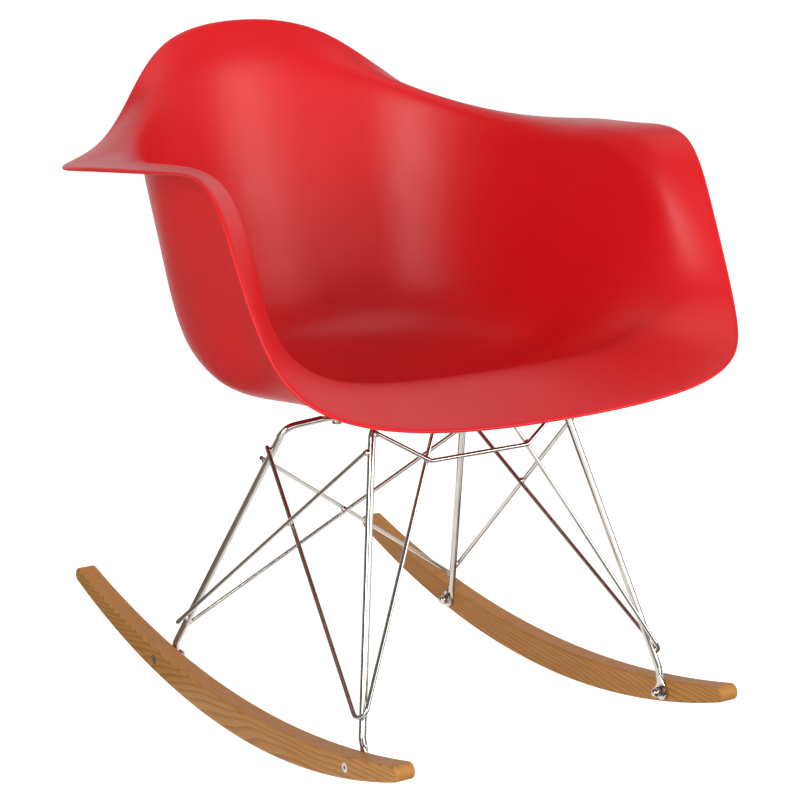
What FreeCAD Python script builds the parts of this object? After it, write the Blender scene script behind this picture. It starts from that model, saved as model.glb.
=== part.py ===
"""Moulded armchair on two wooden rockers, in millimetres.

A one-piece plastic bucket seat stands on a base of bent steel rods. Four thick legs run down
and outwards to flattened eyes that are bolted to two curved wooden rockers. Thinner rods are
welded between the legs: a bent V strut at each front leg, two straight struts at each rear leg
and one trapezoid crossbar under the front of the seat.

Frame: +Z is up, the sitter faces -Y and the sitter's left is +X. The floor is z = 0 and the
origin lies on the mirror plane, under the middle of the rockers' length.
"""
import FreeCAD, Part
import math
import os

V = FreeCAD.Vector

# Rockers
rocker_length = 690.0
rocker_thickness = 22.0
rocker_depth = 31.0
rocker_spacing = 380.0
rocker_front_radius = 955.0
rocker_top_radius = 1290.0
rocker_low_y = -8.0
rocker_end_fillet = 8.0
end_round_share = 0.48
rocker_edge_fillet = 2.5

# Rods and their welds
leg_diameter = 7.6
strut_diameter = 4.5
weld_gap = 0.1
weld_bead_radius = 3.6
weld_bead_axis = V(1, 0.3, 0.2)

# Flattened eyes at both ends of a leg
eye_thickness = 4.0
eye_diameter = 18.0
eye_neck = 8.0

# Where the legs stand on the rockers, and where they turn in under the seat
front_bolt_y = -252.6
rear_bolt_y = 148.5
front_knee = (6.6, 23.4)
rear_knee = (-7.0, 18.0)
front_corner = (110.2, -156.0)
rear_corner = (110.5, 17.3)
front_corner_rise = 4.0
rear_corner_rise = -4.3
front_mount = (52.0, -160.0)
rear_mount = (51.5, 11.0)
knee_radius = 14.0
corner_radius = 18.0

# Struts: heights of their welds on the legs
front_strut_foot_height = 84.8
front_strut_top_height = 275.6
front_strut_bend_radius = 8.8
side_strut_foot_height = 74.1
side_strut_top_height = 320.2
cross_foot_height_left = 58.2
cross_foot_height_right = 69.0
cross_strut_top_height = 260.8
front_strut_tip = 5.0
side_strut_tip = 12.5
cross_strut_tip = 6.0
seat_end_gap = 2.0
side_foot_gap = 1.15
corner_passes = 6
strut_reach = (leg_diameter + strut_diameter) / 2 + weld_gap
crossbar_half_width = 57.0
crossbar_drop = 41.9
crossbar_bend_radius = 8.0
crossbar_forward = 14.2
crossbar_end_drop = 10.9

# Side of a leg on which each strut is welded, seen on the sitter's left
front_foot_side = (0.81, -0.59, 0)
rear_top_side = (1, 0.02, 0)
side_foot_side = (1, 0.06, 0)
side_top_side = (0.95, 0.3, 0)
crossbar_side = (-0.66, -0.75, 0)

# The rear strut that starts on the left passes behind the other one and a little past the leg
cross_foot_side_left = (0, 1, 0)
cross_foot_side_right = (-1, 0.04, 0)
cross_top_side_left = (0, 1, 0)
cross_top_side_right = (-0.94, 0.34, 0)

# Fasteners at the rockers
bolt_diameter = 6.0
bolt_head_diameter = 10.0
bolt_head_height = 3.0
bolt_clearance = 0.2
socket_width = 4.0
socket_depth = 1.8
washer_diameter = 13.0
washer_thickness = 1.2
cap_nut_width = 10.0
cap_nut_hex_height = 5.0
cap_nut_dome_radius = 4.5
nut_bore_depth = 4.0

# Seat mounts: a moulded boss, a rubber pad, the leg's eye, a washer and a screw
boss_drop = 14.0
boss_top_diameter = 34.0
boss_foot_diameter = 28.0
pad_thickness = 6.5
pad_diameter = 22.0
screw_diameter = 5.0
screw_head_diameter = 10.0
screw_head_height = 3.2
screw_socket_width = 3.2
screw_point_gap = 2.0
insert_diameter = 9.0
insert_length = 10.0

# Seat shell. Each row holds half of a ring of control points, from the middle of the front
# edge round the sitter's left to the middle of the back.
shell_thickness = 5.0
seat_floor_height = 332.0
seat_middle_y = 40.0
seat_flat_half_width = 30.0
seat_flat_half_depth = 28.0
edge_rounding = 7.0
edge_bulge = 2.25
neck_length = 32.0
flat_ring_step = 1.6
floor_ring_share = 0.65
floor_rise_share = 0.25
longest_move_share = 0.6
probe_reach = 150.0

rim_row = [
    (0, -318, 374), (137, -325, 381), (229, -296, 395), (267, -244, 427), (273, -188, 530),
    (276, -146, 608), (280, -56, 594), (310, 61, 585), (302, 150, 570), (222, 205, 572),
    (164, 251, 617), (100, 298, 677), (0, 308, 689),
]
fold_row = [
    (0, -203, 402), (114, -203, 402), (202, -202, 413), (241, -188, 462), (237, -162, 533),
    (232, -112, 589), (235, -40, 600), (239, 39, 588), (221, 115, 592), (186, 184, 609),
    (136, 239, 627), (73, 275, 643), (0, 287, 650),
]
heel_row = [
    (0, -106, 332), (68, -102, 334), (125, -88, 350), (168, -64, 367), (197, -34, 370),
    (208, 2, 371), (203, 44, 377), (190, 88, 382), (166, 127, 381), (134, 160, 377),
    (95, 184, 373), (49, 199, 369), (0, 204, 368),
]


def mirrored(shape):
    """The same piece on the sitter's right."""
    return shape.mirror(V(0, 0, 0), V(1, 0, 0))


def group(solids):
    """Several solids as one piece of the assembly."""
    return solids[0] if len(solids) == 1 else Part.makeCompound(solids)


def cylinder(diameter, length, start, direction):
    return Part.makeCylinder(diameter / 2, length, V(*start), V(*direction))


# Seat shell

def blend(first, second, share):
    return [tuple(a + (b - a) * share for a, b in zip(p, q)) for p, q in zip(first, second)]


def move_towards(row, targets, distance):
    """Each point of a row moved by one distance towards its target point."""
    moved = []
    for point, target in zip(row, targets):
        step = V(*target) - V(*point)
        moved.append(tuple(V(*point) + step * min(distance / step.Length, longest_move_share)))
    return moved


def flat_ring(scale):
    """Half an ellipse of control points on the flat middle of the seat."""
    count = len(rim_row)
    ring = []
    for index in range(count):
        angle = math.pi * index / (count - 1) - math.pi / 2
        x = scale * seat_flat_half_width * math.cos(angle)
        y = seat_middle_y + scale * seat_flat_half_depth * math.sin(angle)
        ring.append((x if 0 < index < count - 1 else 0.0, y, seat_floor_height))
    return ring


def closed_ring(row):
    """A half row and its mirror image, as one closed ring of points."""
    points = [V(*point) for point in row]
    return points + [V(-p.x, p.y, p.z) for p in reversed(points[1:-1])]


def upper_rows():
    """Rings of control points of the upper surface, from the seat's middle to the rim."""
    inner = flat_ring(1.0)
    outer = flat_ring(flat_ring_step)
    level = blend(outer, heel_row, floor_ring_share)
    slope = blend(outer, heel_row, floor_rise_share)
    floor = [(p[0], p[1], q[2]) for p, q in zip(level, slope)]
    wall = blend(heel_row, fold_row, 0.5)
    neck = move_towards(fold_row, wall, neck_length)
    lip = move_towards(rim_row, fold_row, edge_rounding)
    rows = (inner, outer, floor, heel_row, wall, neck, fold_row, lip, rim_row)
    return [closed_ring(row) for row in rows]


def ring_surface(rows):
    """Cubic B-spline surface, periodic round the rings and clamped from first to last row."""
    count = len(rows[0])
    spans = len(rows) - 3
    poles = [[row[index] for row in rows] for index in range(count)]
    surface = Part.BSplineSurface()
    surface.buildFromPolesMultsKnots(
        poles,
        [1] * (count + 1),
        [4] + [1] * (spans - 1) + [4],
        [float(k) for k in range(count + 1)],
        [float(k) for k in range(spans + 1)],
        True,
        False,
        3,
        3,
    )
    return surface


def row_normals(rows):
    """Upward surface normals at the control points, from the neighbouring points."""
    count = len(rows[0])
    last = len(rows) - 1
    normals = []
    for r in range(last + 1):
        line = []
        for i in range(count):
            along = rows[r][(i + 1) % count] - rows[r][i - 1]
            outwards = rows[min(r + 1, last)][i] - rows[max(r - 1, 0)][i]
            normal = outwards.cross(along)
            normal.normalize()
            line.append(normal)
        normals.append(line)
    return normals


def seat_shell():
    """Closed skin: upper face, rounded edge and lower face in one surface, with two flat caps."""
    upper = upper_rows()
    lower = []
    for row, line in zip(upper, row_normals(upper)):
        lower.append([p - n * shell_thickness for p, n in zip(row, line)])
    for ring in range(2):
        lower[ring] = [p - V(0, 0, shell_thickness) for p in upper[ring]]
    edge = []
    for index in range(len(upper[0])):
        outward = upper[-1][index] - upper[-2][index]
        outward.normalize()
        middle = (upper[-1][index] + lower[-1][index]) * 0.5
        edge.append(middle + outward * edge_bulge)
    side = ring_surface(upper + [edge] + lower[::-1]).toShape()
    caps = [Part.Face(Part.Wire([e])) for e in side.Edges if is_flat(e)]
    skin = Part.Shell([side] + caps)
    skin.sewShape()
    solid = Part.Solid(skin)
    if solid.Volume < 0:
        solid.reverse()
    return solid


def is_flat(edge):
    return edge.BoundBox.ZLength < 0.001


def underside_height(shell, x, y):
    """Height of the shell's lower face above a point of the floor plan."""
    line = Part.makeLine(V(x, y, 0), V(x, y, seat_floor_height + probe_reach))
    return min(vertex.Z for vertex in shell.common(line).Vertexes)


# Rods

def rod_path(points, radius):
    """Straight runs joined by tangent arcs of one radius."""
    edges = []
    start = points[0]
    for before, corner, after in zip(points, points[1:], points[2:]):
        back = before - corner
        ahead = after - corner
        back.normalize()
        ahead.normalize()
        half_angle = back.getAngle(ahead) / 2
        cut = radius / math.tan(half_angle)
        bisector = back + ahead
        bisector.normalize()
        centre = corner + bisector * (radius / math.sin(half_angle))
        first = corner + back * cut
        last = corner + ahead * cut
        edges.append(Part.LineSegment(start, first).toShape())
        edges.append(Part.Arc(first, centre - bisector * radius, last).toShape())
        start = last
    edges.append(Part.LineSegment(start, points[-1]).toShape())
    return Part.Wire(edges)


def rod(points, diameter, radius=1.0):
    path = rod_path(points, radius)
    direction = points[1] - points[0]
    profile = Part.Wire([Part.makeCircle(diameter / 2, points[0], direction)])
    return path.makePipeShell([profile], True, False)


def eye(centre, along, normal, hole, next_point):
    """Flattened end of a leg: a round plate with a hole and a neck that grows into the rod.

    The side that the normal points to is pressed flat along the neck, where it lies on the
    rocker or under the seat. The other side is flat round the hole, for a washer.
    """
    across = normal.cross(along)
    across.normalize()
    half = eye_thickness / 2
    radius = eye_diameter / 2
    reach = radius + eye_neck
    disc = Part.makeCylinder(radius, eye_thickness, centre - normal * half, normal)
    start = centre + along * (radius / 2)
    half_width = math.sqrt(radius ** 2 - (radius / 2) ** 2) - weld_gap
    flat = Part.Ellipse(start + across * half_width, start + normal * half, start).toShape()
    neck_end = centre + along * reach
    round_end = Part.Circle(neck_end, next_point - neck_end, leg_diameter / 2).toShape()
    neck = Part.makeLoft([Part.Wire([flat]), Part.Wire([round_end])], True, True)
    drill = Part.makeCylinder(hole / 2, 2 * leg_diameter, centre - normal * leg_diameter, normal)
    plate = [
        centre + normal * half + across * side + along * end
        for side, end in ((-radius, -radius), (radius, -radius), (radius, reach), (-radius, reach))
    ]
    pressed = Part.Face(Part.makePolygon(plate + plate[:1])).extrude(normal * leg_diameter)
    washer_seat = washer_diameter / 2 + 2 * bolt_clearance
    spot = Part.makeCylinder(washer_seat, leg_diameter, centre - normal * half, normal * -1)
    return disc.fuse(neck).cut(drill).cut(pressed).cut(spot), neck_end


def arc_rise(radius, run):
    """How far an arc has risen at some distance from its level place."""
    return radius - math.sqrt(radius ** 2 - run ** 2)


def rocker_low(y):
    """Height of a rocker's underside: two arcs that meet level and rise equally to the ends."""
    front_run = rocker_length / 2 + rocker_low_y
    rear_run = rocker_length / 2 - rocker_low_y
    end_rise = arc_rise(rocker_front_radius, front_run)
    rear_radius = (rear_run ** 2 + end_rise ** 2) / (2 * end_rise)
    return arc_rise(rocker_front_radius if y < rocker_low_y else rear_radius, y - rocker_low_y)


def rocker_high(y):
    """Height of a rocker's top face, a flatter arc."""
    return rocker_depth + arc_rise(rocker_top_radius, y)


def rocker_height_at(y):
    """Mid height of a rocker's side at one place of its length."""
    return (rocker_low(y) + rocker_high(y)) / 2


def leg(bolt_y, knee, corner, corner_rise, mount, top_height):
    """One thick leg with its two eyes, and the points that its axis runs through."""
    plane_x = rocker_spacing / 2 - rocker_thickness / 2 - eye_thickness / 2
    foot = V(plane_x, bolt_y, rocker_height_at(bolt_y))
    knee_point = foot + V(0, knee[0], knee[1])
    corner_point = V(corner[0], corner[1], top_height + corner_rise)
    mount_point = V(mount[0], mount[1], top_height)
    up = knee_point - foot
    up.normalize()
    out = V(corner[0] - mount[0], corner[1] - mount[1], 0)
    out.normalize()
    bolt_hole = bolt_diameter + 2 * bolt_clearance
    screw_hole = screw_diameter + 2 * bolt_clearance
    foot_eye, foot_end = eye(foot, up, V(1, 0, 0), bolt_hole, knee_point)
    top_eye, top_end = eye(mount_point, out, V(0, 0, 1), screw_hole, corner_point)
    path = [foot_end, knee_point, corner_point, top_end]
    body = rod_with_radii(path, leg_diameter, [knee_radius, corner_radius])
    return body.fuse(foot_eye).fuse(top_eye), (foot, knee_point, corner_point, mount_point)


def rod_with_radii(points, diameter, radii):
    middle = (points[1] + points[2]) * 0.5
    low = rod([points[0], points[1], middle], diameter, radii[0])
    high = rod([points[3], points[2], middle], diameter, radii[1])
    return low.fuse(high)


def axis_point(axis, height):
    """Point of a leg's long straight run at one height."""
    low, high = axis[1], axis[2]
    return low + (high - low) * ((height - low.z) / (high.z - low.z))


def beside(axis, height, direction, distance=strut_reach):
    """Point at one side of a leg: by default the centre of a strut that is welded on there."""
    run = axis[2] - axis[1]
    run.normalize()
    side = V(*direction)
    side = side - run * side.dot(run)
    side.normalize()
    return axis_point(axis, height) + side * distance


def beyond(start, end, distance):
    """The point that lies past the end of a straight run."""
    step = end - start
    step.normalize()
    return end + step * distance


# Rockers and fasteners

def rocker():
    half = rocker_length / 2
    inner_x = rocker_spacing / 2 - rocker_thickness / 2
    outer_x = inner_x + rocker_thickness
    ends_and_middles = (-half, (rocker_low_y - half) / 2, rocker_low_y, (rocker_low_y + half) / 2, half)
    bottom = [V(inner_x, y, rocker_low(y)) for y in ends_and_middles]
    top = [V(inner_x, y, rocker_high(y)) for y in (half, 0.0, -half)]
    edges = [
        Part.Arc(*bottom[:3]).toShape(),
        Part.Arc(*bottom[2:]).toShape(),
        Part.LineSegment(bottom[4], top[0]).toShape(),
        Part.Arc(*top).toShape(),
        Part.LineSegment(top[2], bottom[0]).toShape(),
    ]
    bar = Part.Face(Part.Wire(edges)).extrude(V(rocker_thickness, 0, 0))
    corners = [e for e in bar.Edges if e.BoundBox.XLength > rocker_thickness / 2]
    corners = [e for e in corners if abs(e.CenterOfMass.y) > half - rocker_thickness]
    end_height = rocker_high(half) - rocker_low(half)
    bar = bar.makeFillet(min(rocker_end_fillet, end_round_share * end_height), corners)
    long_edges = [e for e in bar.Edges if e.BoundBox.XLength < rocker_thickness / 2]
    bar = bar.makeFillet(rocker_edge_fillet, long_edges)
    hole = bolt_diameter + bolt_clearance
    recess = bolt_head_diameter + 2 * bolt_clearance
    for y in (front_bolt_y, rear_bolt_y):
        z = rocker_height_at(y)
        bar = bar.cut(cylinder(hole, rocker_thickness, (inner_x, y, z), (1, 0, 0)))
        bar = bar.cut(cylinder(recess, bolt_head_height, (outer_x, y, z), (-1, 0, 0)))
    return bar


def hexagon(width, height, start, direction):
    radius = width / math.sqrt(3)
    points = []
    for step in range(7):
        angle = math.radians(60 * step)
        points.append(V(radius * math.cos(angle), radius * math.sin(angle), 0))
    prism = Part.Face(Part.makePolygon(points)).extrude(V(0, 0, height))
    prism.Placement = FreeCAD.Placement(V(*start), FreeCAD.Rotation(V(0, 0, 1), V(*direction)))
    return prism


def bolt_stack(y):
    """Bolt, washer and cap nut through one rocker and the eye on its inner face."""
    z = rocker_height_at(y)
    outer_x = rocker_spacing / 2 + rocker_thickness / 2
    washer_x = outer_x - rocker_thickness - eye_thickness
    nut_x = washer_x - washer_thickness
    inwards = (-1, 0, 0)
    shank_length = outer_x - nut_x + nut_bore_depth
    shank = cylinder(bolt_diameter, shank_length, (outer_x, y, z), inwards)
    head = cylinder(bolt_head_diameter, bolt_head_height, (outer_x, y, z), inwards)
    socket = hexagon(socket_width, socket_depth, (outer_x, y, z), inwards)
    bolt = shank.fuse(head).cut(socket)
    washer = cylinder(washer_diameter, washer_thickness, (washer_x, y, z), inwards)
    bore = cylinder(bolt_diameter + bolt_clearance, washer_thickness, (washer_x, y, z), inwards)
    washer = washer.cut(bore)
    nut = hexagon(cap_nut_width, cap_nut_hex_height, (nut_x, y, z), inwards)
    dome_x = nut_x - cap_nut_hex_height
    dome = Part.makeSphere(cap_nut_dome_radius, V(dome_x, y, z))
    dome = dome.common(cylinder(2 * cap_nut_dome_radius, cap_nut_dome_radius, (dome_x, y, z), inwards))
    nut = nut.fuse(dome).cut(cylinder(bolt_diameter, nut_bore_depth, (nut_x, y, z), inwards))
    return bolt, washer, nut


def mount_stack(shell, mount):
    """Boss, threaded insert, rubber pad, washer and screw of one seat mount, from the top down."""
    underside = underside_height(shell, *mount)
    boss_foot = underside - boss_drop
    pad_foot = boss_foot - pad_thickness
    washer_foot = pad_foot - eye_thickness - washer_thickness
    head_foot = washer_foot - screw_head_height
    clear_hole = screw_diameter + 2 * bolt_clearance

    def upright(diameter, length, foot):
        return cylinder(diameter, length, (mount[0], mount[1], foot), (0, 0, 1))

    # The cone is taller than the boss, and the shell's own shape cuts off its top
    taper = (boss_top_diameter - boss_foot_diameter) / 2 / boss_drop
    full_height = 3 * boss_drop
    foot_radius = boss_foot_diameter / 2
    foot_centre = V(mount[0], mount[1], boss_foot)
    cone = Part.makeCone(foot_radius, foot_radius + taper * full_height, full_height, foot_centre)
    insert_bore = upright(insert_diameter, insert_length, boss_foot)
    boss = keep_lowest(cone.cut(shell)).cut(insert_bore)
    insert = insert_bore.cut(upright(screw_diameter, insert_length, boss_foot))
    pad = upright(pad_diameter, pad_thickness, pad_foot)
    pad = pad.cut(upright(clear_hole, pad_thickness, pad_foot))
    washer = upright(washer_diameter, washer_thickness, washer_foot)
    washer = washer.cut(upright(clear_hole, washer_thickness, washer_foot))
    shank_top = boss_foot + insert_length - screw_point_gap
    screw = upright(screw_diameter, shank_top - washer_foot, washer_foot)
    screw = screw.fuse(upright(screw_head_diameter, screw_head_height, head_foot))
    socket = hexagon(screw_socket_width, socket_depth, (mount[0], mount[1], head_foot), (0, 0, 1))
    return boss, insert, pad, washer, screw.cut(socket)


def keep_lowest(shape):
    """The lowest of the solids that a cut leaves."""
    return min(shape.Solids, key=lambda solid: solid.BoundBox.ZMin)


def weld(spot, pieces):
    """Bead that fills the corner between the pieces round one spot. Its poles point off to the
    side, away from the rods' lines, so that the cuts don't run through them."""
    bead = Part.makeSphere(weld_bead_radius, spot, weld_bead_axis)
    for piece in pieces:
        if bead.BoundBox.intersect(piece.BoundBox):
            bead = bead.cut(piece)
    return max(bead.Solids, key=lambda solid: solid.Volume)


def closest_place(first, second):
    """Middle of the shortest gap between two pieces."""
    nearest = first.distToShape(second)[1][0]
    return (nearest[0] + nearest[1]) * 0.5


# Welded struts, each made for the sitter's left

def front_strut_top(front_axis):
    """End of the V strut, beside the inner end of the eye under the seat."""
    return front_axis[3] - V((eye_diameter + strut_diameter) / 2 + seat_end_gap, 0, 0)


def front_strut(front_axis, rear_axis):
    """V strut: round the front leg's foot, then to the rear leg's top and in under the seat."""
    foot = beside(front_axis, front_strut_foot_height, front_foot_side)
    rear_top = beside(rear_axis, front_strut_top_height, rear_top_side)
    seat_top = front_strut_top(front_axis)
    corner = foot
    for _ in range(corner_passes):
        to_rear = rear_top - corner
        to_seat = seat_top - corner
        to_rear.normalize()
        to_seat.normalize()
        half_angle = to_rear.getAngle(to_seat) / 2
        bisector = to_rear + to_seat
        bisector.normalize()
        corner = foot - bisector * (front_strut_bend_radius * (1 / math.sin(half_angle) - 1))
    path = [beyond(corner, rear_top, front_strut_tip), corner, seat_top]
    return rod(path, strut_diameter, front_strut_bend_radius)


def side_strut(front_axis, rear_axis):
    """Straight strut outside the rear leg's foot, up to the front leg's top."""
    foot_reach = strut_reach + side_foot_gap
    foot = beside(rear_axis, side_strut_foot_height, side_foot_side, foot_reach)
    top = beside(front_axis, side_strut_top_height, side_top_side)
    return rod([beyond(top, foot, side_strut_tip), top], strut_diameter)


def cross_strut(rear_axis, foot_height, foot_side, top_side, tip):
    """Straight strut behind the seat: from one rear leg's foot to the other one's top."""
    foot = beside(rear_axis, foot_height, foot_side)
    top = beside(rear_axis, cross_strut_top_height, top_side)
    return rod([foot, beyond(foot, V(-top.x, top.y, top.z), tip)], strut_diameter)


def crossbar(front_axis):
    """Trapezoid rod that hangs between the front legs' tops."""
    top_height = front_axis[2].z
    end = beside(front_axis, top_height - crossbar_end_drop, crossbar_side)
    low = V(crossbar_half_width, end.y - crossbar_forward, top_height - crossbar_drop)
    path = [end, low, V(-low.x, low.y, low.z), V(-end.x, end.y, end.z)]
    return rod(path, strut_diameter, crossbar_bend_radius)


def weld_beads(pieces, front_axis, rear_axis):
    """One bead at every joint between two rods."""
    bar_height = front_axis[2].z - crossbar_end_drop
    paired = [
        touching_place(front_axis, front_strut_foot_height, front_foot_side),
        touching_place(rear_axis, front_strut_top_height, rear_top_side),
        touching_place(rear_axis, side_strut_foot_height, side_foot_side),
        touching_place(front_axis, side_strut_top_height, side_top_side),
        touching_place(front_axis, bar_height, crossbar_side),
        front_axis[3] - V((eye_diameter + seat_end_gap) / 2, 0, 0),
    ]
    for partner in ("side_strut_left", "front_crossbar"):
        paired.append(closest_place(pieces["front_strut_left"], pieces[partner]))
    beads = [weld(spot, pieces.values()) for spot in paired]
    beads += [mirrored(bead) for bead in beads]
    crossing = [pieces["rear_cross_strut" + side] for side in ("_left", "_right")]
    single = [closest_place(*crossing)]
    for sign, foot_height, foot_side, top_side in (
        (1, cross_foot_height_left, cross_foot_side_left, cross_top_side_left),
        (-1, cross_foot_height_right, cross_foot_side_right, cross_top_side_right),
    ):
        single.append(touching_place(rear_axis, foot_height, foot_side, sign))
        single.append(touching_place(rear_axis, cross_strut_top_height, top_side, -sign))
    return beads + [weld(spot, pieces.values()) for spot in single]


def touching_place(axis, height, direction, sign=1):
    """Where a strut touches a leg on the sitter's left, or on the right with the sign -1."""
    point = beside(axis, height, direction, leg_diameter / 2 + weld_gap / 2)
    return V(sign * point.x, point.y, point.z)


def build():
    shell = seat_shell()
    heights = {}
    for end, mount in (("front", front_mount), ("rear", rear_mount)):
        eye_top = underside_height(shell, *mount) - boss_drop - pad_thickness
        heights[end] = eye_top - eye_thickness / 2
    front_leg, front_axis = leg(
        front_bolt_y, front_knee, front_corner, front_corner_rise, front_mount, heights["front"]
    )
    rear_leg, rear_axis = leg(
        rear_bolt_y, rear_knee, rear_corner, rear_corner_rise, rear_mount, heights["rear"]
    )
    cross_left = cross_strut(
        rear_axis, cross_foot_height_left, cross_foot_side_left, cross_top_side_left, cross_strut_tip
    )
    cross_right = cross_strut(
        rear_axis, cross_foot_height_right, cross_foot_side_right, cross_top_side_right, 0.0
    )
    pieces = {
        "seat_shell": shell,
        "front_crossbar": crossbar(front_axis),
        "rear_cross_strut_left": cross_left,
        "rear_cross_strut_right": mirrored(cross_right),
    }
    handed = {
        "front_leg": front_leg,
        "rear_leg": rear_leg,
        "front_strut": front_strut(front_axis, rear_axis),
        "side_strut": side_strut(front_axis, rear_axis),
        "rocker": rocker(),
    }
    for name, shape in handed.items():
        pieces[name + "_left"] = shape
        pieces[name + "_right"] = mirrored(shape)

    fasteners = [bolt_stack(y) for y in (front_bolt_y, rear_bolt_y)]
    for name, parts in zip(("rocker_bolts", "rocker_washers", "cap_nuts"), zip(*fasteners)):
        pieces[name] = group([copy for part in parts for copy in (part, mirrored(part))])
    mounts = [mount_stack(shell, mount) for mount in (front_mount, rear_mount)]
    names = ("seat_bosses", "boss_inserts", "mount_pads", "mount_washers", "mount_screws")
    for name, parts in zip(names, zip(*mounts)):
        pieces[name] = group([copy for part in parts for copy in (part, mirrored(part))])

    pieces["weld_beads"] = group(weld_beads(pieces, front_axis, rear_axis))
    return pieces


os.makedirs("parts", exist_ok=True)
for name, shape in build().items():
    shape.exportStep("parts/" + name + ".step")
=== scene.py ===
# %% [markdown]
# A rocking armchair. A one-piece moulded plastic seat stands on a base of thin plated steel
# rods, and the base is bolted to two curved wooden rockers. The solid model already has every
# piece at its true size, so this notebook gives the pieces their finishes and adds the seat as
# one smooth surface, because its long curves are what the eye follows.

# %% Load the frame
import math

import bpy
import numpy as np
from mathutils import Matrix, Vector


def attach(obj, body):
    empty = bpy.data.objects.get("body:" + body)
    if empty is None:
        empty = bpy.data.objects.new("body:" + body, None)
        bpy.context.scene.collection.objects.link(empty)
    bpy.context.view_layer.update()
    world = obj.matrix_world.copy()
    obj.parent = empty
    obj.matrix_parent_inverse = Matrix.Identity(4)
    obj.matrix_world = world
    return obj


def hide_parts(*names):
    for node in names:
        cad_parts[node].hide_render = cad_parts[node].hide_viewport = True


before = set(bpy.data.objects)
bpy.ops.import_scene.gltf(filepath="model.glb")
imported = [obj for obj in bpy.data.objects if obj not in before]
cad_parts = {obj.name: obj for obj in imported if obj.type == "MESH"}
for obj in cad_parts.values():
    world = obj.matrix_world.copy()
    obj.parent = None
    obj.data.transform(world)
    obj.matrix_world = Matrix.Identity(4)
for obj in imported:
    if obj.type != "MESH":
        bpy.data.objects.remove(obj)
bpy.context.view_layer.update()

# %% [markdown]
# The seat is one skin of plastic, 5 mm thick. It could be sculpted or subdivided from a cage,
# but here it is worked out as one B-spline surface: rings of control points run round the seat,
# from its flat middle up the wall, over the rim and back down the underside. Three rows shape
# it, each for one half of the seat: the rim, the fold where the wall turns outwards, and the
# heel where the floor turns up into the wall.

# %% Sizes and rows of the seat, in millimetres
PLASTIC_THICKNESS = 5.0
FLOOR_HEIGHT = 332.0
MIDDLE_Y = 40.0
FLAT_HALF_WIDTH = 30.0
FLAT_HALF_DEPTH = 28.0
FLAT_RING_STEP = 1.6
FLOOR_RING_SHARE = 0.65
FLOOR_RISE_SHARE = 0.25
NECK_LENGTH = 32.0
RIM_ROUNDING = 7.0
EDGE_BULGE = 2.25
LONGEST_MOVE_SHARE = 0.6
RIM = np.array([
    (0, -318, 374), (137, -325, 381), (229, -296, 395), (267, -244, 427), (273, -188, 530),
    (276, -146, 608), (280, -56, 594), (310, 61, 585), (302, 150, 570), (222, 205, 572),
    (164, 251, 617), (100, 298, 677), (0, 308, 689)], float)
FOLD = np.array([
    (0, -203, 402), (114, -203, 402), (202, -202, 413), (241, -188, 462), (237, -162, 533),
    (232, -112, 589), (235, -40, 600), (239, 39, 588), (221, 115, 592), (186, 184, 609),
    (136, 239, 627), (73, 275, 643), (0, 287, 650)], float)
HEEL = np.array([
    (0, -106, 332), (68, -102, 334), (125, -88, 350), (168, -64, 367), (197, -34, 370),
    (208, 2, 371), (203, 44, 377), (190, 88, 382), (166, 127, 381), (134, 160, 377),
    (95, 184, 373), (49, 199, 369), (0, 204, 368)], float)
print("points in each row", len(RIM))

# %% A flat half ring, and steps from row to row


def flat_ring(scale):
    """Half an ellipse in the flat middle. Sideways it is the half width times the cosine of a
    turn from -90 to 90 degrees, lengthways the half depth times its sine, both scaled."""
    turn = np.linspace(-math.pi / 2, math.pi / 2, len(RIM))
    return np.column_stack([
        FLAT_HALF_WIDTH * scale * np.cos(turn),
        MIDDLE_Y + FLAT_HALF_DEPTH * scale * np.sin(turn),
        np.full(len(RIM), FLOOR_HEIGHT)])


def step_towards(row, target, distance):
    """Each point moved by the distance towards its target, but never past the longest share."""
    step = target - row
    length = np.linalg.norm(step, axis=1, keepdims=True)
    return row + step * np.minimum(distance / length, LONGEST_MOVE_SHARE)


print("points in half a ring", len(flat_ring(1.0)))

# %% Rings of the upper side


def mirrored_ring(row):
    """The half row, then its mirror image backwards, without the two points on the mirror."""
    return np.vstack([row, row[-2:0:-1] * (-1, 1, 1)])


def upper_rings():
    """Nine rings out from the middle: two flat ellipses, a share of the way to the heel, the
    heel, halfway to the fold, a neck inside the fold, the fold, a step inside the rim, the rim."""
    inner, outer = flat_ring(1.0), flat_ring(FLAT_RING_STEP)
    floor = outer + (HEEL - outer) * FLOOR_RING_SHARE
    floor[:, 2] = (outer + (HEEL - outer) * FLOOR_RISE_SHARE)[:, 2]
    wall = (HEEL + FOLD) / 2
    rows = [inner, outer, floor, HEEL, wall, step_towards(FOLD, wall, NECK_LENGTH), FOLD,
            step_towards(RIM, FOLD, RIM_ROUNDING), RIM]
    for row in rows:
        row[[0, -1], 0] = 0
    return np.array([mirrored_ring(row) for row in rows])


UPPER = upper_rings()
print("rings on the upper side", len(UPPER))

# %% Rings of the underside and the edge


def lower_rings(upper):
    """The upper rings moved down by the thickness, along the cross product of the steps across
    the rings and the steps along them."""
    along = np.roll(upper, -1, 1) - np.roll(upper, 1, 1)
    padded = np.concatenate([upper[:1], upper, upper[-1:]])
    across = padded[2:] - padded[:-2]
    normal = np.cross(across, along)
    normal /= np.linalg.norm(normal, axis=2, keepdims=True)
    lower = upper - normal * PLASTIC_THICKNESS
    lower[:2] = upper[:2] - (0, 0, PLASTIC_THICKNESS)
    return lower


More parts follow.
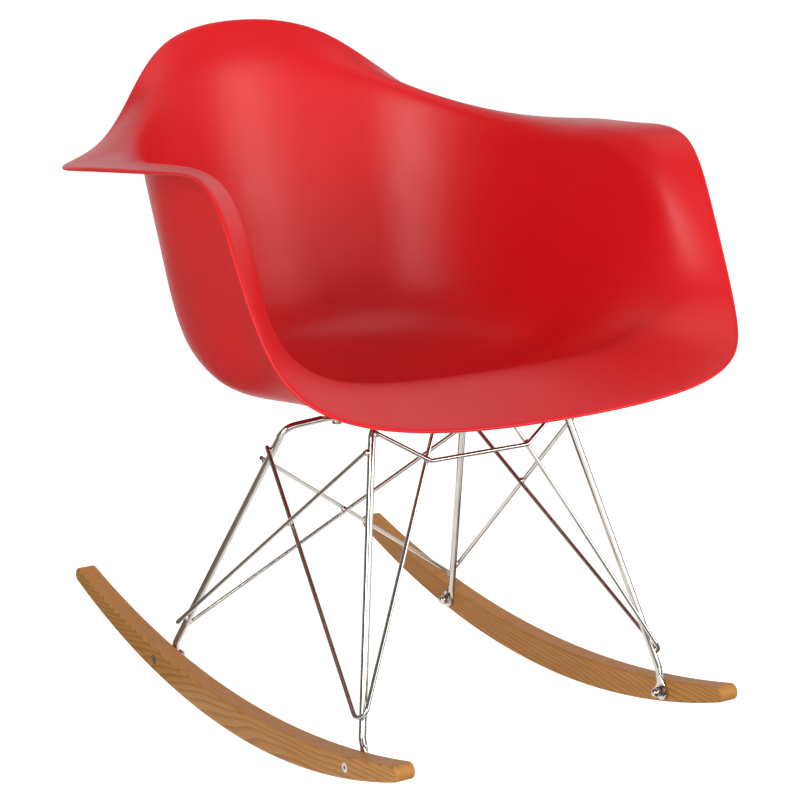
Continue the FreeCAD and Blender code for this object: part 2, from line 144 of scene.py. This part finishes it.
LOWER = lower_rings(UPPER)
outward = UPPER[-1] - UPPER[-2]
outward /= np.linalg.norm(outward, axis=1, keepdims=True)
EDGE = (UPPER[-1] + LOWER[-1]) / 2 + outward * EDGE_BULGE
CAGE = np.concatenate([UPPER, EDGE[None], LOWER[::-1]])
print("control rings", CAGE.shape[0], "points in each", CAGE.shape[1])

# %% [markdown]
# A spline's point is a weighted mean of the control points near it, so the whole surface is two
# matrices of weights times the cage. A periodic cubic spline goes round each ring and closes on
# itself, and a clamped cubic spline goes across the rings and ends on the first and last one.

# %% Weights round a ring
ROUND_STEPS = 14
CROSS_STEPS = 10


def round_weights(count, steps):
    """Matrix of the uniform periodic cubic: at a share t between two points the four nearest
    weigh (1-t)^3, 3t^3-6t^2+4, -3t^3+3t^2+3t+1 and t^3, all over 6."""
    place = np.arange(count * steps) / steps
    first = np.floor(place).astype(int)
    t = place - first
    shares = np.stack([
        (1 - t) ** 3,
        3 * t ** 3 - 6 * t ** 2 + 4,
        -3 * t ** 3 + 3 * t ** 2 + 3 * t + 1,
        t ** 3]) / 6
    weights = np.zeros((len(place), count))
    for k in range(4):
        np.add.at(weights, (np.arange(len(place)), (first + k - 1) % count), shares[k])
    return weights


ROUND_WEIGHTS = round_weights(CAGE.shape[1], ROUND_STEPS)
print("round weights", ROUND_WEIGHTS.shape)

# %% Weights across the rings


def cross_weights(count, steps):
    """Matrix of the clamped cubic, by the rule that blends two splines of one degree less."""
    spans = count - 3
    knots = np.concatenate([[0] * 3, np.arange(spans + 1), [spans] * 3]).astype(float)
    place = np.linspace(0, spans, spans * steps + 1)
    place[-1] -= 1e-9
    columns = [((start <= place) & (place < end)).astype(float) for start, end in zip(knots, knots[1:])]
    for degree in (1, 2, 3):
        blended = []
        for i in range(len(columns) - 1):
            low = knots[i + degree] - knots[i]
            high = knots[i + degree + 1] - knots[i + 1]
            left = (place - knots[i]) / low * columns[i] if low > 0 else 0
            right = (knots[i + degree + 1] - place) / high * columns[i + 1] if high > 0 else 0
            blended.append(left + right)
        columns = blended
    return np.array(columns).T


def seat_points():
    """Points of the skin in metres: cross weights times the rings times the round weights."""
    cross_part = cross_weights(CAGE.shape[0], CROSS_STEPS)
    return np.einsum("vr,ui,rik->vuk", cross_part, ROUND_WEIGHTS, CAGE) / 1000


SEAT = seat_points()
print("seat grid", SEAT.shape, "from", SEAT.min((0, 1)).round(4), "to", SEAT.max((0, 1)).round(4))

# %% [markdown]
# The grid becomes a mesh of quads that runs like a tube from the middle of the upper side, over
# the rim, to the middle of the underside. A fan of triangles closes each end, so the skin is one
# closed shell and its faces point outwards.

# %% Faces of a closed tube


def closed_tube_faces(rows, columns):
    """Quads between the rows of a grid that is closed round its columns."""
    start = np.arange(rows - 1)[:, None] * columns
    step = np.arange(columns)[None]
    low = (start + step).ravel()
    right = (start + (step + 1) % columns).ravel()
    return np.column_stack([low, right, right + columns, low + columns])


print("quads in the seat's tube", len(closed_tube_faces(*SEAT.shape[:2])))

# %% Put the seat's mesh in the scene


def add_piece(name, points, faces, material=None, smooth=True):
    """A mesh object at the origin from points in metres and a list of faces."""
    mesh = bpy.data.meshes.new(name)
    mesh.from_pydata(np.asarray(points).tolist(), [], [list(face) for face in faces])
    mesh.validate()
    mesh.polygons.foreach_set("use_smooth", [smooth] * len(mesh.polygons))
    piece = bpy.data.objects.new(name, mesh)
    bpy.context.scene.collection.objects.link(piece)
    if material:
        mesh.materials.append(material)
    return piece


def seat_mesh():
    """The grid as a tube, and a fan at each end from the mean of the end ring."""
    rows, columns = SEAT.shape[:2]
    points = SEAT.reshape(-1, 3)
    ends = np.array([SEAT[0].mean(0), SEAT[-1].mean(0)])
    faces = closed_tube_faces(rows, columns).tolist()
    ring = np.arange(columns)
    after = (ring + 1) % columns
    top, bottom = rows * columns, rows * columns + 1
    last = (rows - 1) * columns
    faces += np.column_stack([after, ring, np.full(columns, top)]).tolist()
    faces += np.column_stack([last + ring, last + after, np.full(columns, bottom)]).tolist()
    return add_piece("seat_skin", np.vstack([points, ends]), faces)


seat = seat_mesh()
print("triangles in the seat", sum(len(face.vertices) - 2 for face in seat.data.polygons))
print("normal of the underside", seat.data.polygons[-1].normal[:])

# %% [markdown]
# Every finish below is a small tree of nodes. It reads the piece's own coordinates in metres, so
# a grain or a scratch has its true size and stays on the piece when the piece moves. The same
# few steps come back in each tree, so they are helpers: a noise, a range, a colour ramp, bumps.

# %% Start a material
NEW_SHADER = "Principled BSDF"


def node_adder(tree):
    """A function that adds a node: names after in_ are its sockets, the others its settings."""
    def add(kind, **values):
        node = tree.nodes.new(kind)
        for key, value in values.items():
            if key.startswith("in_"):
                node.inputs[key[3:].replace("_", " ")].default_value = value
            else:
                setattr(node, key, value)
        return node
    return add


def new_material(name):
    """A material with its principled shader, and a function that adds a node to it."""
    material = bpy.data.materials.new(name)
    material.use_nodes = True
    tree = material.node_tree
    return material, tree, tree.nodes[NEW_SHADER], node_adder(tree)


def object_mapping(tree, add, scale=(1, 1, 1), turn=(0, 0, 0), shift=(0, 0, 0)):
    """Object coordinates in metres, stretched, turned and shifted."""
    place = add("ShaderNodeTexCoord")
    mapping = add("ShaderNodeMapping", in_Scale=scale, in_Rotation=turn, in_Location=shift)
    tree.links.new(place.outputs["Object"], mapping.inputs["Vector"])
    return mapping.outputs["Vector"]


print("each material starts from", NEW_SHADER)

# %% Noise, ranges and colours
NOISE_LOW, NOISE_HIGH = 0.3, 0.7


def noise(tree, add, vector, scale, detail=3.0, rough=0.5):
    """A cloudy value with so many swells per metre."""
    node = add("ShaderNodeTexNoise", in_Scale=scale, in_Detail=detail, in_Roughness=rough)
    tree.links.new(vector, node.inputs["Vector"])
    return node.outputs["Fac"]


def spread(tree, add, value, low, high):
    """A noise value taken from the range that noise mostly has to the range from low to high."""
    node = add("ShaderNodeMapRange", in_From_Min=NOISE_LOW, in_From_Max=NOISE_HIGH,
               in_To_Min=low, in_To_Max=high)
    tree.links.new(value, node.inputs["Value"])
    return node.outputs["Result"]


def colours(tree, add, value, *stops):
    """A colour ramp through stops of (place, red, green, blue)."""
    ramp = add("ShaderNodeValToRGB")
    points = ramp.color_ramp.elements
    while len(points) < len(stops):
        points.new(0.5)
    for point, stop in zip(points, stops):
        point.position = stop[0]
        point.color = (*stop[1:], 1)
    tree.links.new(value, ramp.inputs["Fac"])
    return ramp.outputs["Color"]


def two_tints(tree, add, value, dark, light):
    """A noise value taken from a dark to a light colour."""
    return colours(tree, add, value, (NOISE_LOW, *dark), (NOISE_HIGH, *light))


print("noise is read from", NOISE_LOW, "to", NOISE_HIGH)

# %% Bumps
BUMP_STRENGTH = 1.0


def bump(tree, add, shader, heights):
    """Bumps one after another: each height value with its depth in metres."""
    normal = None
    for height, depth in heights:
        node = add("ShaderNodeBump", in_Strength=BUMP_STRENGTH, in_Distance=depth)
        tree.links.new(height, node.inputs["Height"])
        if normal:
            tree.links.new(normal, node.inputs["Normal"])
        normal = node.outputs["Normal"]
    tree.links.new(normal, shader.inputs["Normal"])


print("bumps have their full depth at strength", BUMP_STRENGTH)

# %% [markdown]
# The seat's plastic is dyed through, with a satin face that gives wide, soft highlights. A real
# mould leaves a very fine grain, and handling polishes it unevenly. So the colour varies by a
# few percent, the roughness by a little more, and a fine noise lifts the surface by hundredths
# of a millimetre.

# %% Satin red plastic


def red_plastic():
    """Deep red that drifts a little, with a mould grain over slow swells."""
    material, tree, shader, add = new_material("satin_red_plastic")
    place = object_mapping(tree, add)
    cloudy = noise(tree, add, place, 7.0, 4.0)
    tint = two_tints(tree, add, cloudy, (0.610, 0.0050, 0.0085), (0.650, 0.0062, 0.0100))
    tree.links.new(tint, shader.inputs["Base Color"])
    handled = noise(tree, add, place, 22.0, 5.0, 0.6)
    tree.links.new(spread(tree, add, handled, 0.36, 0.41), shader.inputs["Roughness"])
    shader.inputs["IOR"].default_value = 1.46
    shader.inputs["Specular IOR Level"].default_value = 0.42
    grain = noise(tree, add, place, 1500.0, 2.0)
    swell = noise(tree, add, place, 60.0, 1.0)
    bump(tree, add, shader, [(swell, 0.00003), (grain, 0.00002)])
    return material


seat.data.materials.append(red_plastic())
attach(seat, "root")
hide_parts("seat_shell")
print("plastic on", seat.name)

# %% [markdown]
# The rods are steel, drawn, bent, welded and then plated with bright chrome. Chrome gives back
# a little over half of the light and has almost no colour of its own, so it shows the red seat,
# the pale floor and the dim room. The base colour here still leans a little warm, and that
# warmth is a painted reflection of warm brown surroundings. Faint polishing marks and a slightly
# wavy plate keep it from looking like glass. The weld beads are rougher, because plating follows
# what lies under it.

# %% Chrome for the rods, the welds and the nuts


def chrome(name, low, high, wave_scale, wave_depth):
    """Plated metal with a roughness from low to high and waves of a depth in metres."""
    material, tree, shader, add = new_material(name)
    shader.inputs["Metallic"].default_value = 1.0
    place = object_mapping(tree, add)
    patches = noise(tree, add, place, 90.0, 4.0, 0.6)
    # painted reflection: the warm brown lean of these two tints stands in for warm surroundings seen in
    # the plate; their strength of about half is chrome's own
    tint = two_tints(tree, add, patches, (0.50, 0.47, 0.43), (0.57, 0.54, 0.50))
    tree.links.new(tint, shader.inputs["Base Color"])
    tree.links.new(spread(tree, add, patches, low, high), shader.inputs["Roughness"])
    wave = noise(tree, add, place, wave_scale, 3.0)
    bump(tree, add, shader, [(wave, wave_depth)])
    return material


def dress(material, *nodes):
    """Puts one material on whole nodes of the solid model."""
    for name in nodes:
        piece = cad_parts[name]
        piece.data.materials.clear()
        piece.data.materials.append(material)
    print(material.name, "on", ", ".join(nodes))


rods = ["front_crossbar"]
for rod in ("front_leg", "rear_leg", "front_strut", "side_strut", "rear_cross_strut"):
    rods += [rod + "_left", rod + "_right"]
dress(chrome("bright_chrome", 0.07, 0.12, 40.0, 0.000005), *rods)
dress(chrome("weld_chrome", 0.12, 0.25, 900.0, 0.0002), "weld_beads")
dress(chrome("nut_chrome", 0.06, 0.14, 200.0, 0.00001), "cap_nuts")

# %% [markdown]
# The rockers are sawn from solid light wood, so the grain runs straight while the piece curves,
# and the growth rings come out on the sides as long pointed arches. The rings are cylinders
# round a tree axis that leans a little against the length. A slow noise bends them, as a real
# trunk is never quite round.

# %% Growth rings of the tree
TREE_LEAN = (0.03, 0.0, 0.045)
TREE_SHIFT = (0.0, 0.0, 0.05)
BEND_SWELLS = (14.0, 3.0, 14.0)
BEND_DEPTH = 0.014
RING_SCALE = 150.0


def growth_rings(tree, add):
    """A value that climbs through each ring from 0 to 1. Blender's wave makes one ring in every
    pi / (10 * scale) metres from the axis, here 2.1 mm."""
    trunk = object_mapping(tree, add, turn=TREE_LEAN, shift=TREE_SHIFT)
    warp = add("ShaderNodeTexNoise", in_Scale=1.0, in_Detail=2.0)
    tree.links.new(object_mapping(tree, add, scale=BEND_SWELLS), warp.inputs["Vector"])
    centred = add("ShaderNodeVectorMath", operation="SUBTRACT")
    tree.links.new(warp.outputs["Color"], centred.inputs[0])
    centred.inputs[1].default_value = (0.5, 0.5, 0.5)
    scaled = add("ShaderNodeVectorMath", operation="SCALE", in_Scale=BEND_DEPTH)
    tree.links.new(centred.outputs["Vector"], scaled.inputs[0])
    bent = add("ShaderNodeVectorMath", operation="ADD")
    tree.links.new(trunk, bent.inputs[0])
    tree.links.new(scaled.outputs["Vector"], bent.inputs[1])
    rings = add("ShaderNodeTexWave", wave_type="RINGS", rings_direction="Y", wave_profile="SAW",
                in_Scale=RING_SCALE, in_Distortion=0.8, in_Detail=2.0, in_Detail_Scale=1.5)
    tree.links.new(bent.outputs["Vector"], rings.inputs["Vector"])
    return rings.outputs["Fac"]


print("one growth ring in millimetres", round(1000 * math.pi / (10 * RING_SCALE), 2))

# %% [markdown]
# In each ring the pale spring wood darkens slowly and then jumps back, which is what makes a
# growth ring sharp on one side. Fine dark fibres lie over the rings, a few centimetres long and
# a millimetre wide, and a thin clear lacquer gives a satin sheen.

# %% Lacquered wood
FIBRE_SWELLS = (900.0, 14.0, 900.0)
FIBRE_SHARE = 0.7


def wood():
    """Ring colours times the dark fibres, with both also in the bump."""
    material, tree, shader, add = new_material("lacquered_wood")
    rings = growth_rings(tree, add)
    base = colours(tree, add, rings, (0.0, 0.585, 0.285, 0.078), (0.5, 0.550, 0.255, 0.064),
                   (0.86, 0.420, 0.170, 0.034), (1.0, 0.560, 0.265, 0.070))
    fibres = noise(tree, add, object_mapping(tree, add, scale=FIBRE_SWELLS), 1.0, 4.0, 0.6)
    streak = colours(tree, add, fibres, (0.35, 0.74, 0.68, 0.60), (0.6, 1.0, 1.0, 1.0))
    mixed = add("ShaderNodeMix", data_type="RGBA", blend_type="MULTIPLY", clamp_result=True)
    mixed.inputs[0].default_value = FIBRE_SHARE
    tree.links.new(base, mixed.inputs[6])
    tree.links.new(streak, mixed.inputs[7])
    tree.links.new(mixed.outputs[2], shader.inputs["Base Color"])
    tree.links.new(spread(tree, add, fibres, 0.52, 0.44), shader.inputs["Roughness"])
    shader.inputs["Specular IOR Level"].default_value = 0.22
    bump(tree, add, shader, [(rings, 0.00004), (fibres, 0.00003)])
    return material


dress(wood(), "rocker_left", "rocker_right")

# %% [markdown]
# The small parts: plain steel bolts, washers, zinc-plated seat screws, brass inserts, rubber
# pads and the bosses under the seat. They are hardly seen, but each gets the finish that it has
# in a box of fittings: turned marks on steel, dull zinc on the screws, and chalky moulded rubber.

# %% Finishes of the small parts
DARK_SHARE = 0.85


def plain_finish(name, tint, metal, rough, depth, scale=700.0, stretch=(1, 1, 1)):
    """One colour with a small drift, uneven roughness and a fine bump, all from noise."""
    material, tree, shader, add = new_material(name)
    shader.inputs["Metallic"].default_value = metal
    place = object_mapping(tree, add, scale=stretch)
    drift = noise(tree, add, place, scale / 6, 4.0)
    dark = [DARK_SHARE * value for value in tint]
    tree.links.new(two_tints(tree, add, drift, dark, tint), shader.inputs["Base Color"])
    tree.links.new(spread(tree, add, drift, *rough), shader.inputs["Roughness"])
    bump(tree, add, shader, [(noise(tree, add, place, scale, 3.0), depth)])
    return material


dress(plain_finish("turned_steel", (0.62, 0.61, 0.60), 1.0, (0.22, 0.34), 0.00003, stretch=(4, 1, 1)),
      "rocker_bolts", "rocker_washers", "mount_washers")
dress(plain_finish("dull_zinc", (0.34, 0.34, 0.33), 1.0, (0.35, 0.5), 0.00003), "mount_screws")
dress(plain_finish("brass", (0.75, 0.55, 0.22), 1.0, (0.25, 0.35), 0.00003), "boss_inserts")
dress(plain_finish("rubber", (0.022, 0.022, 0.023), 0.0, (0.65, 0.85), 0.00008, 1200.0), "mount_pads")
dress(plain_finish("boss_plastic", (0.42, 0.008, 0.012), 0.0, (0.45, 0.6), 0.00006), "seat_bosses")

# %% [markdown]
# The floor is pale and plain, and it glows a little like a lit table, so it stays nearly white
# all the way back and the shadows on it are faint.

# %% Floor
FLOOR_GLOW = 0.88
FLOOR_HALF = 40.0


def pale_floor():
    """A matt grey that glows white."""
    material, tree, shader, add = new_material("pale_floor")
    cloudy = noise(tree, add, object_mapping(tree, add), 3.0)
    tint = two_tints(tree, add, cloudy, (0.44, 0.44, 0.44), (0.46, 0.46, 0.46))
    tree.links.new(tint, shader.inputs["Base Color"])
    shader.inputs["Roughness"].default_value = 0.9
    shader.inputs["Specular IOR Level"].default_value = 0.1
    shader.inputs["Emission Color"].default_value = (1, 1, 1, 1)
    shader.inputs["Emission Strength"].default_value = FLOOR_GLOW
    return material


def lay_flat(name, corners, material):
    """A flat stage piece with its corners in order."""
    piece = add_piece(name, corners, [tuple(range(len(corners)))], material, smooth=False)
    return piece


corner_signs = ((-1, -1), (1, -1), (1, 1), (-1, 1))
lay_flat("floor", [(x * FLOOR_HALF, y * FLOOR_HALF, 0) for x, y in corner_signs], pale_floor())
print("floor glows at", FLOOR_GLOW)

# %% [markdown]
# In a studio the wall behind the piece is bright and the room in front of it is dim. Here the
# world does that without any walls: its light grows from a low to a high strength towards one
# side. The camera itself sees plain white past the floor, so that every view has a pale ground.

# %% Dim room with a bright wall
BRIGHT_WALL = (0.53, 0.85, 0.0)
DIM, BRIGHT = 0.16, 0.85


def dim_room():
    """Strength by the dot product of a direction with the way to the bright wall."""
    world = bpy.data.worlds.new("dim_room")
    world.use_nodes = True
    tree = world.node_tree
    add = node_adder(tree)
    background = tree.nodes["Background"]
    background.inputs["Color"].default_value = (1, 1, 1, 1)
    along = add("ShaderNodeVectorMath", operation="DOT_PRODUCT")
    along.inputs[1].default_value = BRIGHT_WALL
    tree.links.new(add("ShaderNodeTexCoord").outputs["Generated"], along.inputs[0])
    fade = add("ShaderNodeMapRange", in_From_Min=0.1, in_From_Max=0.9, in_To_Min=DIM, in_To_Max=BRIGHT)
    tree.links.new(along.outputs["Value"], fade.inputs["Value"])
    backdrop = add("ShaderNodeMath", operation="MAXIMUM")
    tree.links.new(add("ShaderNodeLightPath").outputs["Is Camera Ray"], backdrop.inputs[0])
    tree.links.new(fade.outputs["Result"], backdrop.inputs[1])
    tree.links.new(backdrop.outputs["Value"], background.inputs["Strength"])
    return world


bpy.context.scene.world = dim_room()
print("room from", DIM, "to", BRIGHT)

# %% [markdown]
# Without something dark to reflect, plated rods on a white floor look like white paint. So dark
# cards lie on the floor beside the piece, and only reflections see them. A grey card under the
# piece takes up part of the light that the floor throws back at the underside.

# %% Cards on the floor
UMBER = (0.26, 0.225, 0.195)
CHARCOAL = (0.08, 0.075, 0.07)
GREY = (0.45, 0.45, 0.45)
CARD_LIFT = 0.002
CARD_POINTS = 33
RAYS = ("camera", "diffuse", "glossy", "transmission", "volume_scatter", "shadow")


def card(name, start, end, near, far, shade, seen_by):
    """Part of a ring on the floor, between two compass angles in degrees from -Y towards +X."""
    material, tree, shader, add = new_material(name)
    cloudy = noise(tree, add, object_mapping(tree, add), 30.0)
    dark = [DARK_SHARE * value for value in shade]
    tree.links.new(two_tints(tree, add, cloudy, dark, shade), shader.inputs["Base Color"])
    angles = np.radians(np.linspace(start, end, CARD_POINTS))
    turn = np.column_stack([np.sin(angles), -np.cos(angles), np.zeros(CARD_POINTS)])
    corners = np.vstack([turn * near, turn[::-1] * far]) + (0, 0, CARD_LIFT)
    piece = lay_flat(name, corners.tolist(), material)
    for ray in RAYS:
        setattr(piece, "visible_" + ray, ray == seen_by)


card("dark_card_front", -25, 55, 0.3, 4.0, CHARCOAL, "glossy")
card("dark_card_side", -178, -62, 0.25, 4.0, UMBER, "glossy")
card("dark_card_back", 95, 150, 0.25, 4.0, UMBER, "glossy")
card("grey_card", 0, 359.9, 0.001, 1.6, GREY, "diffuse")
print("cards laid", CARD_LIFT, "metres over the floor")

# %% [markdown]
# Three wide softboxes in front and one overhead light the piece, because wide lamps make wide
# highlights on satin plastic. The front ones stand low, so the back of the seat and its front
# lip are the brightest places, and the floor of the seat behind the lip stays darker.

# %% Softboxes


def softbox(name, place, aim, width, height, watts):
    """A rectangular lamp of a width and a height in metres, turned from its place to its aim."""
    lamp = bpy.data.lights.new(name, "AREA")
    lamp.shape = "RECTANGLE"
    lamp.size, lamp.size_y, lamp.energy = width, height, watts
    holder = bpy.data.objects.new(name, lamp)
    holder.location = place
    holder.rotation_euler = (Vector(aim) - Vector(place)).to_track_quat("-Z", "Y").to_euler()
    bpy.context.scene.collection.objects.link(holder)


SEAT_MIDDLE, SEAT_FLOOR = (0, 0, 0.45), (0, 0, 0.4)
softbox("softbox_left", (-2.5, -1.6, 1.2), SEAT_MIDDLE, 1.2, 1.6, 54)
softbox("softbox_right", (1.9, -2.5, 1.3), SEAT_MIDDLE, 1.4, 1.6, 41)
softbox("softbox_front", (-0.1, -3.4, 0.9), SEAT_MIDDLE, 2.6, 1.4, 34)
softbox("softbox_top", (0.1, -0.1, 2.9), SEAT_FLOOR, 2.2, 1.8, 15)
print("lamps", len(bpy.data.lights))

# %% [markdown]
# The camera stands where the photographer stood, in front and to the piece's right, a little
# above it. Its place, angles and lens come from fitting the rockers, the rods and the outline
# of the seat to the picture.

# %% Camera
FOCAL_PIXELS = 2591.4
PHOTO_WIDTH = 800
SENSOR_WIDTH = 36.0
CAMERA_PLACE = (-1.3668, -2.2223, 1.0069)
AZIMUTH, ELEVATION = math.radians(-31.94), math.radians(14.75)

camera_data = bpy.data.cameras.new("camera")
camera_data.sensor_width = SENSOR_WIDTH
camera_data.lens = SENSOR_WIDTH * FOCAL_PIXELS / PHOTO_WIDTH
camera = bpy.data.objects.new("camera", camera_data)
towards_camera = Vector((
    math.sin(AZIMUTH) * math.cos(ELEVATION),
    -math.cos(AZIMUTH) * math.cos(ELEVATION),
    math.sin(ELEVATION)))
camera.location = CAMERA_PLACE
camera.rotation_mode = "QUATERNION"
camera.rotation_quaternion = (-towards_camera).to_track_quat("-Z", "Y")
bpy.context.scene.collection.objects.link(camera)
bpy.context.scene.camera = camera
bpy.context.scene.view_settings.view_transform = "Standard"
print("camera lens", round(camera_data.lens, 2))

# %% [markdown]
# The last cell brings the scene up to date.

# %% Update the scene
bpy.context.view_layer.update()
